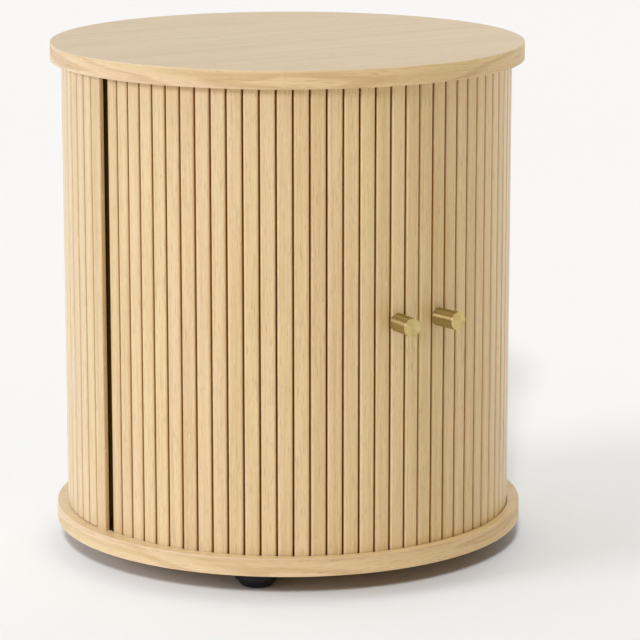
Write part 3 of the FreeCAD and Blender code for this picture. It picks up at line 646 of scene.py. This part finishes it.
KNOB_TURN = 1.5 * DOOR_PITCH
KNOB_Z, KNOB_R, KNOB_LEN = 0.255, 0.0085, 0.027
for side, sign in (("left", -1.0), ("right", 1.0)):
    a = sign * KNOB_TURN
    axis = (math.sin(a), -math.cos(a), 0.0)
    back = DOOR_R
    outline = [(0.010, 0.0), (0.010, 0.00205), (0.0, 0.00205), (0.0, KNOB_R), (KNOB_LEN, KNOB_R), (KNOB_LEN, 0.0)]
    soft = [0, 0, 0, 0.0005, 0.0006, 0]
    outline = rounded(outline, soft)
    # extra rings keep the shading even on the long side and the flat face
    full = []
    for p, q in zip(outline, outline[1:]):
        full.append(p)
        long = math.hypot(q[0] - p[0], q[1] - p[1])
        parts = 8 if long > 0.004 else 1
        for k in range(1, parts):
            w = k / parts
            full.append((p[0] + (q[0] - p[0]) * w, p[1] + (q[1] - p[1]) * w))
    full.append(outline[-1])
    knob = lathe(side + "_knob_turned", full, Vector(axis) * back + Vector((0, 0, KNOB_Z)), axis, FINISH["brass"])
    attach(knob, side + "_door")
    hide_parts(side + "_knob")


def canvas_sheet(side, sign):
    """The cloth glued behind a door's slats. It lies flat on each slat's back and sinks a little
    into the gaps between them; its tail runs on past the last slat, partly a canvas tail and partly
    a dark sheet that stands in for the shade in the slot behind the jamb."""
    r_out, r_in = 0.20245, 0.20175
    gap = math.radians(0.26)
    # the last 5.3 degrees run past the last slat: a dark sheet behind the jamb, standing in for the shade in the
    # slot there
    first, last = gap, 21 * DOOR_PITCH - gap + math.radians(5.3)
    z0, z1 = BASE_TOP + 0.0008, TOP_UNDER - 0.0008
    cols, rows = 23 * 12, 64
    bm = bmesh.new()
    uv = bm.loops.layers.uv.new("cloth")
    half = 0.5 * 0.0139 / 0.2025
    grid = {}
    for layer in (0, 1):
        for i in range(cols + 1):
            a = first + (last - first) * i / cols
            k = math.floor(a / DOOR_PITCH)
            u = abs(a - (k + 0.5) * DOOR_PITCH)
            sink = 0.0
            if a < 21 * DOOR_PITCH - 0.5 * (DOOR_PITCH - 2 * half):
                w = max(0.0, (u - half + 0.004) / (0.5 * DOOR_PITCH - half + 0.004))
                sink = 0.00012 * w * w
            for j in range(rows + 1):
                z = z0 + (z1 - z0) * j / rows
                puff = 0.00006 * math.sin(31.0 * z * 6.28 + 3.0 * a) * math.sin(17.0 * a + 40.0 * z)
                r = (r_out if layer == 0 else r_in) - sink - abs(puff)
                r = min(max(r, r_in - 0.00025), r_out)
                grid[layer, i, j] = bm.verts.new((sign * r * math.sin(a), -r * math.cos(a), z))

    def quad(keys, coords):
        face = bm.faces.new([grid[k] for k in keys])
        face.smooth = True
        for loop, c in zip(face.loops, coords):
            loop[uv].uv = c

    def flat(i, j):
        return (0.2021 * (last - first) * i / cols, (z1 - z0) * j / rows)

    for i in range(cols):
        for j in range(rows):
            corners = [(i, j), (i + 1, j), (i + 1, j + 1), (i, j + 1)]
            for layer in (0, 1):
                quad([(layer, a, b) for a, b in corners], [flat(a, b) for a, b in corners])
    for j in range(rows):
        for i in (0, cols):
            quad([(0, i, j), (0, i, j + 1), (1, i, j + 1), (1, i, j)], [flat(i, j), flat(i, j + 1), flat(i, j + 1), flat(i, j)])
    for i in range(cols):
        for j in (0, rows):
            quad([(0, i, j), (0, i + 1, j), (1, i + 1, j), (1, i, j)], [flat(i, j), flat(i + 1, j), flat(i + 1, j), flat(i, j)])
    bmesh.ops.recalc_face_normals(bm, faces=bm.faces[:])
    mesh = bpy.data.meshes.new(side + "_canvas_sheet")
    bm.to_mesh(mesh)
    bm.free()
    mesh.materials.append(FINISH["canvas"])
    obj = link(side + "_canvas_sheet", mesh)
    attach(obj, side + "_door")
    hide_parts(side + "_door_canvas")
    return obj


canvas_sheet("left", -1.0)
canvas_sheet("right", 1.0)


# ------------------------------------------------------------------ floor, light, camera

def floor_material():
    t = Tree("pale_floor")
    obj, x, y, z = t.coord()
    cloud = t.noise(t.scaled(obj, 0.7, 0.7, 0.7), 1.0, 3.0, 0.5)
    col = t.mix(cloud, (0.945, 0.942, 0.938), (0.960, 0.958, 0.955))
    # a slightly cooler patch evens out the warm light that the oak throws on the ground
    reach = t.math("SQRT", t.add(t.mul(x, x), t.mul(y, y)))
    near = t.remap(reach, 0.20, 0.90, 1.0, 0.0, True)
    col = t.mix(near, col, t.mix(1.0, col, (0.945, 0.972, 0.990), "MULTIPLY"))
    return t.surface(Base_Color=col, Roughness=0.85, Specular_IOR_Level=0.1)


bm = bmesh.new()
bmesh.ops.create_grid(bm, x_segments=8, y_segments=8, size=14.0)
floor_mesh = bpy.data.meshes.new("floor")
bm.to_mesh(floor_mesh)
bm.free()
floor_mesh.materials.append(floor_material())
floor = link("floor", floor_mesh)


def backdrop_material():
    t = Tree("pale_backdrop")
    obj, x, y, z = t.coord()
    rise = t.remap(z, 0.0, 1.7, 0.0, 1.0, True)
    col = t.mix(rise, (0.972, 0.964, 0.955), (0.945, 0.938, 0.930))
    return t.surface(
        Base_Color=(0.0, 0.0, 0.0, 1.0), Roughness=1.0, Specular_IOR_Level=0.0,
        Emission_Color=col, Emission_Strength=1.0,
    )


# a plain pale wall far behind, seen only where a low view looks past the floor's end; it
# neither lights the object nor shades it
bm = bmesh.new()
rings = []
for height in (-0.2, 2.0, 5.0, 12.0):
    rings.append([bm.verts.new((13.5 * math.cos(k * math.pi / 48), 13.5 * math.sin(k * math.pi / 48), height)) for k in range(96)])
for low_ring, high_ring in zip(rings, rings[1:]):
    for k in range(96):
        m = (k + 1) % 96
        bm.faces.new((low_ring[m], low_ring[k], high_ring[k], high_ring[m])).smooth = True
wall_mesh = bpy.data.meshes.new("backdrop")
bm.to_mesh(wall_mesh)
bm.free()
wall_mesh.materials.append(backdrop_material())
wall = link("backdrop", wall_mesh)
wall.visible_diffuse = wall.visible_glossy = wall.visible_transmission = False
wall.visible_shadow = wall.visible_volume_scatter = False

world = bpy.data.worlds.new("studio")
scene.world = world
world.use_nodes = True
sky = world.node_tree.nodes["Background"]
CAM_AZ = math.radians(-33.6)
CAM_EL = math.radians(12.16)


def studio_walls():
    """A bright wall behind and to the left of the object, dimmer ones in front, a dim ceiling."""
    tree = world.node_tree
    way = tree.nodes.new("ShaderNodeTexCoord")
    split = tree.nodes.new("ShaderNodeSeparateXYZ")
    tree.links.new(way.outputs["Generated"], split.inputs[0])
    ramps = []
    walls = (
        (((0.0, 0.27), (0.35, 0.37), (1.0, 0.36)), (1.0, 0.965, 0.900)),
        (((0.0, 0.93), (0.50, 0.82), (1.0, 0.36)), (1.0, 0.990, 0.985)),
    )
    for stops, tint in walls:
        ramp = tree.nodes.new("ShaderNodeValToRGB")
        ramp.color_ramp.elements.new(0.5)
        for step, (place, level) in zip(ramp.color_ramp.elements, stops):
            step.position, step.color = place, tuple(level * c for c in tint) + (1.0,)
        tree.links.new(split.outputs[2], ramp.inputs[0])
        ramps.append(ramp)
    bearing = CAM_AZ + math.radians(-145.0)
    toward = tree.nodes.new("ShaderNodeVectorMath")
    toward.operation = "DOT_PRODUCT"
    tree.links.new(way.outputs["Generated"], toward.inputs[0])
    toward.inputs[1].default_value = (math.sin(bearing), -math.cos(bearing), 0.0)
    blend = tree.nodes.new("ShaderNodeMapRange")
    blend.interpolation_type = "SMOOTHSTEP"
    tree.links.new(toward.outputs["Value"], blend.inputs[0])
    blend.inputs[1].default_value, blend.inputs[2].default_value = -0.30, 0.65
    both = tree.nodes.new("ShaderNodeMix")
    both.data_type = "RGBA"
    tree.links.new(blend.outputs[0], both.inputs[0])
    tree.links.new(ramps[0].outputs[0], both.inputs[6])
    tree.links.new(ramps[1].outputs[0], both.inputs[7])
    tree.links.new(both.outputs[2], sky.inputs["Color"])
    sky.inputs["Strength"].default_value = 1.0


studio_walls()


def sun(name, azimuth, elevation, strength, angle, colour):
    """A broad soft light from that bearing, measured from the camera's own bearing."""
    data = bpy.data.lights.new(name, "SUN")
    data.energy, data.angle, data.color = strength, math.radians(angle), colour
    obj = bpy.data.objects.new(name, data)
    scene.collection.objects.link(obj)
    a, e = CAM_AZ + math.radians(azimuth), math.radians(elevation)
    back = Vector((math.sin(a) * math.cos(e), -math.cos(a) * math.cos(e), math.sin(e)))
    obj.location = back * 3.0
    obj.rotation_mode = "QUATERNION"
    obj.rotation_quaternion = back.to_track_quat("Z", "Y")
    return obj


on_object = [
    sun("key", -48.0, 23.0, 1.54, 16.0, (0.95, 1.0, 1.36)),
    sun("high_front", -12.0, 70.0, 0.58, 24.0, (1.0, 0.98, 0.95)),
    sun("left_back", -118.0, 18.0, 0.45, 70.0, (0.42, 0.93, 1.75)),
    sun("right_back", 122.0, 16.0, 0.62, 100.0, (1.0, 0.95, 0.70)),
    sun("warm_fill", 58.0, 18.0, 0.22, 80.0, (1.0, 0.82, 0.40)),
]
# two more lamps for the floor alone keep the ground white and the shadow under the base close
on_floor = [
    sun("ground", -3.5, 34.0, 2.19, 7.0, (1.005, 1.0, 1.01)),
    sun("ground_side", -66.0, 22.0, 1.12, 26.0, (0.98, 1.0, 1.04)),
]
only_floor = bpy.data.collections.new("only_floor")
only_floor.objects.link(floor)
only_object = bpy.data.collections.new("only_object")
for obj in scene.objects:
    if obj.type == "MESH" and obj not in (floor, wall):
        only_object.objects.link(obj)
for lamp in on_floor:
    lamp.light_linking.receiver_collection = only_floor
for lamp in on_object:
    lamp.light_linking.receiver_collection = only_object

cam_data = bpy.data.cameras.new("camera")
cam = bpy.data.objects.new("camera", cam_data)
scene.collection.objects.link(cam)
cam_data.sensor_width = 36.0
cam_data.lens = 178.8
cam_data.clip_start, cam_data.clip_end = 0.05, 60.0
back = Vector((math.sin(CAM_AZ) * math.cos(CAM_EL), -math.cos(CAM_AZ) * math.cos(CAM_EL), math.sin(CAM_EL)))
right = Vector((math.cos(CAM_AZ), math.sin(CAM_AZ), 0.0))
target = Vector((0.0, OFF, 0.2161))
cam.location = target + back * 3.074
look = target + right * 0.0309 - cam.location
cam.rotation_mode = "QUATERNION"
cam.rotation_quaternion = look.to_track_quat("-Z", "Y")
scene.camera = cam
